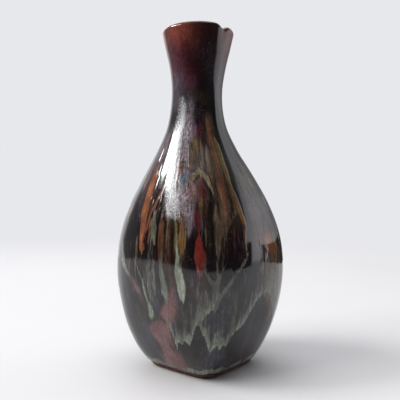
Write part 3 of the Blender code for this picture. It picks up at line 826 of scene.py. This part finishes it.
class Graph:
    """Short calls for building a tree of shader nodes."""

    def __init__(self, tree):
        self.nodes = tree.nodes
        self.links = tree.links

    def put(self, socket, value):
        if isinstance(value, bpy.types.NodeSocket):
            self.links.new(value, socket)
        elif isinstance(value, tuple) and len(value) == 3 and socket.type == "RGBA":
            socket.default_value = (*value, 1.0)
        else:
            socket.default_value = value

    def node(self, kind, inputs=None, **settings):
        """A new node. inputs says what goes into its sockets, by their names or numbers."""
        made = self.nodes.new("ShaderNode" + kind)
        for key, value in settings.items():
            setattr(made, key, value)
        for key, value in (inputs or {}).items():
            self.put(made.inputs[key], value)
        return made

    def attribute(self, name, output="Fac"):
        return self.node("Attribute", attribute_name=name).outputs[output]

    def math(self, operation, a, b=0.0, c=0.0):
        return self.node("Math", {0: a, 1: b, 2: c}, operation=operation).outputs[0]

    def step(self, low, high, value):
        inputs = {"Value": value, "From Min": low, "From Max": high}
        return self.node("MapRange", inputs, interpolation_type="SMOOTHSTEP").outputs["Result"]

    def product(self, *values):
        total = values[0]
        for value in values[1:]:
            total = self.math("MULTIPLY", total, value)
        return total

    def mix(self, share, a, b):
        return self.node("Mix", {"Factor": share, "A": a, "B": b}, data_type="RGBA").outputs["Result"]

    def ramp(self, value, stops):
        node = self.node("ValToRGB", {"Fac": value})
        points = node.color_ramp.elements
        while len(points) < len(stops):
            points.new(0.5)
        for point, (place, colour) in zip(points, stops):
            point.position = place
            point.color = (*colour, 1.0)
        return node.outputs["Color"]

    def scaled(self, vector, scale):
        return self.node("VectorMath", {0: vector, 1: scale}, operation="MULTIPLY").outputs[0]

    def shaded(self, share, colour, factor):
        """The colour, and where share is 1 the colour times a factor."""
        return self.mix(share, colour, self.scaled(colour, factor))

    def add(self, a, b):
        return self.node("VectorMath", {0: a, 1: b}, operation="ADD").outputs[0]

    def combine(self, x, y, z):
        return self.node("CombineXYZ", {0: x, 1: y, 2: z}).outputs[0]

    def noise(self, vector, scale=1.0, detail=3.0, rough=0.5):
        inputs = {"Vector": vector, "Scale": scale, "Detail": detail, "Roughness": rough}
        return self.node("TexNoise", inputs).outputs["Fac"]

    def specks(self, vector, scale):
        return self.node("TexVoronoi", {"Vector": vector, "Scale": scale}).outputs["Distance"]

    def position(self):
        return self.node("TexCoord").outputs["Object"]

    def height(self):
        return self.node("SeparateXYZ", {0: self.position()}).outputs["Z"]

    def to_camera(self):
        """1 for what the camera sees itself, and 0 for light and reflections."""
        return self.node("LightPath").outputs["Is Camera Ray"]

    def glow(self, colour, strength=1.0):
        return self.node("Emission", {"Color": colour, "Strength": strength}).outputs[0]

    def shade_mix(self, share, a, b):
        return self.node("MixShader", {0: share, 1: a, 2: b}).outputs[0]

    def show(self, shader):
        self.put(self.nodes["Material Output"].inputs["Surface"], shader)


class MaterialGraph(Graph):
    """The nodes of a new material, round its Principled shader."""

    def __init__(self, name):
        self.material = bpy.data.materials.new(name)
        self.material.use_nodes = True
        super().__init__(self.material.node_tree)
        self.shader = self.nodes["Principled BSDF"]

    def bump(self, height, distance, strength):
        node = self.node("Bump", {"Strength": strength, "Distance": distance, "Height": height})
        self.put(self.shader.inputs["Normal"], node.outputs["Normal"])


INSIDE_DARK = (0.075, 0.022, 0.012)
INSIDE_LIGHT = (0.140, 0.050, 0.024)
SPECK_AND_GLINT = (0.42, 0.40, 0.40)
UPPER_FROM = 0.050
UPPER_FULL = 0.075

# Noises that every part of the glaze shares: long streaks, fine hairlines and soft blotches.
Noises = namedtuple("Noises", "streak hair blotch")


def glaze_noises(g):
    """The streaks and hairlines run down the pot, so they are squeezed round it."""
    flow = g.add(g.attribute("round", "Vector"), g.combine(0.0, 0.0, g.height()))
    streak = g.noise(g.scaled(flow, (17, 17, 55)), 1.0, 4.0, 0.62)
    hair = g.noise(g.scaled(flow, (70, 70, 160)), 1.0, 3.0, 0.6)
    return Noises(streak, hair, g.noise(g.position(), 70.0, 3.0, 0.55))


def coat_colour(g, noises):
    """Near black with soft stains and patches of painted sheen and shade, and with streaks and hairlines
    where the glaze is lively.
    """
    streak, hair, blotch = noises
    lively = g.math("SUBTRACT", 1.0, g.attribute("calm"))
    coat = g.attribute("coat", "Color")
    upper = g.product(g.step(UPPER_FROM, UPPER_FULL, g.height()), 0.75)
    olive = g.product(g.step(0.53, 0.68, streak), g.step(0.40, 0.60, hair), upper, lively)
    coat = g.mix(olive, coat, g.mix(g.step(0.42, 0.58, blotch), MOSS, UMBER))
    cloud = g.noise(g.scaled(g.position(), (1.0, 1.0, 0.45)), 95.0, 4.0, 0.65)
    cloudy = g.product(g.step(0.45, 0.60, cloud), g.step(UPPER_FULL, UPPER_FROM, g.height()), lively)
    coat = g.mix(cloudy, coat, g.mix(g.step(0.45, 0.55, blotch), MOSS, INK))
    coat = g.shaded(g.step(0.58, 0.40, blotch), coat, (0.74, 0.68, 0.70))
    coat = g.shaded(g.product(g.step(0.60, 0.42, hair), lively), coat, (0.66, 0.62, 0.62))
    return g.shaded(g.product(g.step(0.54, 0.36, streak), lively), coat, (0.55, 0.50, 0.50))


def run_cover(g, noises):
    """How far the runs cover the coat. The noises give them ragged edges and thin, streaky stretches."""
    sway = g.product(g.math("SUBTRACT", noises.streak, 0.5), 0.75)
    sway = g.math("ADD", sway, g.product(g.math("SUBTRACT", noises.hair, 0.5), 0.85))
    return g.step(0.30, 0.68, g.math("ADD", g.attribute("cover"), sway))


def run_colour(g, noises):
    streak, hair, blotch = noises
    run = g.attribute("run", "Color")
    run = g.shaded(g.step(0.62, 0.40, hair), run, (0.76, 0.72, 0.70))
    run = g.shaded(g.step(0.48, 0.36, streak), run, (0.60, 0.54, 0.52))
    run = g.shaded(g.step(0.50, 0.66, streak), run, (1.40, 1.38, 1.36))
    return g.shaded(g.step(0.56, 0.40, blotch), run, (0.72, 0.70, 0.72))


def speckle(g, colour, matte, noises):
    """Dark and pale grains all over, and a few pale crystal specks. The matte shoulder beside the
    highlight has the most of them; there the pale grains and specks are partly the glaze's own and partly
    painted glints.
    """
    share = g.math("MULTIPLY_ADD", matte, 0.65, 0.35)
    grains = g.noise(g.scaled(g.position(), (1.0, 1.0, 0.5)), 800.0, 3.0, 0.7)
    colour = g.shaded(g.product(g.step(0.50, 0.62, grains), share), colour, (0.30, 0.27, 0.28))
    colour = g.shaded(g.product(g.step(0.46, 0.36, grains), share), colour, (1.9, 1.8, 1.8))
    # Pale crystal specks: partly the glaze's own, partly painted glints.
    crystals_and_glints = g.specks(g.scaled(g.position(), (1.0, 1.0, 0.6)), 1500.0)
    pale = g.product(g.step(0.24, 0.12, crystals_and_glints), g.step(0.46, 0.60, noises.blotch))
    return g.mix(g.product(pale, g.math("MULTIPLY_ADD", matte, 0.5, 0.25)), colour, SPECK_AND_GLINT)


def glaze_material():
    g = MaterialGraph("layered_glaze")
    noises = glaze_noises(g)
    matte = g.attribute("matte")
    colour = g.mix(run_cover(g, noises), coat_colour(g, noises), run_colour(g, noises))
    colour = speckle(g, colour, matte, noises)
    within = g.mix(noises.streak, INSIDE_DARK, INSIDE_LIGHT)
    g.put(g.shader.inputs["Base Color"], g.mix(g.attribute("inside"), colour, within))

    rough = g.math("MULTIPLY_ADD", noises.blotch, 0.10, 0.02)
    g.put(g.shader.inputs["Roughness"], g.math("ADD", g.product(matte, 0.10), rough))
    g.shader.inputs["IOR"].default_value = 1.52
    grain = g.noise(g.position(), 1250.0, 2.0, 0.5)
    relief = g.math("ADD", g.product(noises.streak, 0.16), g.product(noises.hair, 0.05))
    relief = g.math("ADD", relief, g.product(grain, matte, 1.4))
    g.bump(relief, 0.00018, 0.6)
    return g.material


CLAY_DARK = (0.070, 0.030, 0.020)
CLAY = (0.13, 0.052, 0.034)
CLAY_LIGHT = (0.19, 0.080, 0.054)
GRIT = (0.10, 0.05, 0.035)


def clay_material():
    g = MaterialGraph("bare_clay")
    coarse = g.noise(g.position(), 160.0, 4.0, 0.6)
    fine = g.noise(g.position(), 1400.0, 3.0, 0.6)
    colour = g.ramp(coarse, ((0.35, CLAY_DARK), (0.55, CLAY), (0.7, CLAY_LIGHT)))
    grit = g.product(g.step(0.60, 0.68, fine), 0.5)
    g.put(g.shader.inputs["Base Color"], g.mix(grit, colour, GRIT))
    g.put(g.shader.inputs["Roughness"], g.math("ADD", 0.62, g.product(fine, 0.3)))
    g.bump(fine, 0.0003, 0.7)
    return g.material


# ---- stage

CAMERA_AT = (-0.00045, -0.299, 0.09805)
LENS = 44.25
BACKGROUND = (0.800, 0.807, 0.840)
DAYLIGHT = (1.0, 0.985, 0.97)
PANE_TINT = (0.97, 0.985, 1.0)
TABLE_REACH = 0.70
TABLE_DARK = (0.585, 0.583, 0.597)
TABLE_LIGHT = (0.603, 0.600, 0.613)
WINDOW_DISTANCE = 5.0
POT_MIDDLE = Vector((0, 0, 0.11))

# Soft lights: name, azimuth, elevation, width and height in degrees, and radiance.
WINDOWS = (
    ("window_left", -90, 43, (18, 17), 19.0),
    ("window_front_left", -68, 37, (28, 16), 11.5),
    ("overhead", 0, 89, (60, 60), 0.65),
)
# Panes that the glaze mirrors: name, azimuth, distance, reach sideways and heights in m, and radiance.
CARDS = (
    ("bright_pane", -80, 0.40, (-0.118, 0.0), (0.395, 0.505), 40.0),
    ("dim_pane", -80, 0.40, (0.0, 0.195), (0.322, 0.480), 14.5),
    ("dark_front_right", 72, 0.50, (-0.156, 0.172), (0.0, 0.140), 0.05),
    ("dark_right", 129, 0.50, (-0.248, 0.248), (0.0, 0.095), 0.05),
)


def camera():
    data = bpy.data.cameras.new("camera")
    data.lens = LENS
    data.sensor_width = 36.0
    made = place("camera", data)
    made.location = CAMERA_AT
    made.rotation_euler = (math.radians(90), 0, 0)
    bpy.context.scene.camera = made


def window(name, azimuth, elevation, spread, radiance):
    """A soft rectangular light at an azimuth and an elevation, this many degrees wide and high."""
    turn = math.radians(azimuth)
    lift = math.radians(elevation)
    flat = math.cos(lift)
    toward = Vector((flat * math.sin(turn), -flat * math.cos(turn), math.sin(lift)))
    data = bpy.data.lights.new(name, "AREA")
    data.shape = "RECTANGLE"
    data.size, data.size_y = (2 * WINDOW_DISTANCE * math.tan(math.radians(angle / 2)) for angle in spread)
    data.energy = radiance * math.pi * data.size * data.size_y
    data.color = DAYLIGHT
    made = place(name, data)
    made.location = POT_MIDDLE + toward * WINDOW_DISTANCE
    made.rotation_euler = (-toward).to_track_quat("-Z", "Y").to_euler()
    made.visible_camera = False
    made.visible_glossy = False


def card(name, azimuth, distance, sideways, heights, radiance):
    """An upright pane facing the pot, seen only in the glaze: a bright one, or a dark thing nearby."""
    turn = math.radians(azimuth)
    away = Vector((math.sin(turn), -math.cos(turn), 0)) * distance
    aside = Vector((math.cos(turn), math.sin(turn), 0))
    corners = [away + aside * x + Vector((0, 0, z)) for z in heights for x in sideways]
    mesh = bpy.data.meshes.new(name)
    mesh.from_pydata([corner[:] for corner in corners], [], [(0, 1, 3, 2)])
    material = bpy.data.materials.new(name)
    material.use_nodes = True
    g = Graph(material.node_tree)
    g.show(g.glow(PANE_TINT, radiance))
    mesh.materials.append(material)
    made = place(name, mesh)
    made.visible_camera = False
    made.visible_diffuse = False
    made.visible_shadow = False


def right_wall(g, turn, rise):
    """A pale wall from the right to behind, down to the table's end. Its near edge leans back."""
    edge = g.math("SUBTRACT", turn, g.product(g.math("MAXIMUM", rise, 0.0), 0.93))
    fade = g.math("MULTIPLY_ADD", g.step(98, 128, turn), -0.36, 1.0)
    bright = g.math("MULTIPLY_ADD", g.step(30, 8, rise), 0.3, 1.1)
    corner = g.math("MULTIPLY_ADD", g.product(g.step(113, 122, turn), g.step(17, 8, rise)), -0.3, 1.0)
    wall = g.product(g.step(71, 77, edge), g.step(148, 122, turn), g.step(-9.5, -7.5, rise))
    return g.product(wall, fade, bright, corner)


def world():
    """A room that the glaze mirrors: dim in front, pale to the right and behind, with a bright ceiling."""
    made = bpy.data.worlds.new("studio")
    bpy.context.scene.world = made
    made.use_nodes = True
    g = Graph(made.node_tree)
    x, y, z = g.node("SeparateXYZ", {0: g.node("TexCoord").outputs["Generated"]}).outputs
    turn = g.product(g.math("ARCTAN2", x, g.product(y, -1.0)), math.degrees(1))
    rise = g.product(g.math("ARCSINE", z), math.degrees(1))
    behind_left = g.step(-124, -142, turn)
    behind_right = g.product(g.step(160, 176, turn), 0.5)
    ceiling = g.product(g.step(56, 72, rise), 1.7)
    side = g.product(g.step(80, 110, g.math("ABSOLUTE", turn)), 0.24)
    total = 0.06
    for part in (right_wall(g, turn, rise), behind_left, behind_right, ceiling, side):
        total = g.math("ADD", total, part)
    room = g.scaled(g.combine(total, total, total), (1.0, 1.0, 1.03))
    g.put(g.nodes["Background"].inputs["Color"], g.mix(g.to_camera(), room, BACKGROUND))


def table_material():
    """Pale table. Away from the pot the camera sees it fade to the backdrop, and the glaze sees it end."""
    g = MaterialGraph("pale_table")
    distance = g.node("VectorMath", {0: g.position()}, operation="LENGTH").outputs["Value"]
    pale = g.mix(g.noise(g.position(), 9.0), TABLE_DARK, TABLE_LIGHT)
    g.put(g.shader.inputs["Base Color"], pale)
    g.shader.inputs["Roughness"].default_value = 0.7
    g.shader.inputs["Specular IOR Level"].default_value = 0.2
    to_camera = g.to_camera()
    beyond = g.shade_mix(to_camera, g.node("BsdfTransparent").outputs[0], g.glow(BACKGROUND))
    fade = g.step(0.25, 1.1, distance)
    end = g.step(TABLE_REACH - 0.15, TABLE_REACH + 0.20, distance)
    gone = g.math("MULTIPLY_ADD", to_camera, g.math("SUBTRACT", fade, end), end)
    g.show(g.shade_mix(gone, g.shader.outputs[0], beyond))
    return g.material


def table():
    around = 64
    radii = (0.02, 0.2, 0.5, 1.0, 2.0, 4.0, 9.0)
    turn = np.arange(around) * 2 * math.pi / around
    rows = [np.stack([r * np.sin(turn), -r * np.cos(turn), np.full(around, -0.0002)], 1) for r in radii]
    index = np.arange(len(radii) * around).reshape(len(radii), around)
    mesh = bpy.data.meshes.new("table")
    faces = quads(index[:-1], index[1:])[:, ::-1].tolist() + [index[0].tolist()]
    mesh.from_pydata(np.concatenate(rows).tolist(), [], faces)
    mesh.materials.append(table_material())
    place("table", mesh)


def main():
    bpy.context.scene.view_settings.view_transform = "Standard"
    camera()
    world()
    for spec in WINDOWS:
        window(*spec)
    for spec in CARDS:
        card(*spec)
    table()
    glaze = glaze_material()
    piece(dark_coat(glaze), "dark_glaze")
    piece(run_coat(glaze), "run_glaze")
    piece(lip_coat(glaze), "lip_glaze")
    piece(liner_coat(glaze), "liner_glaze")
    piece(clay_pot(clay_material()), "clay_body")


main()
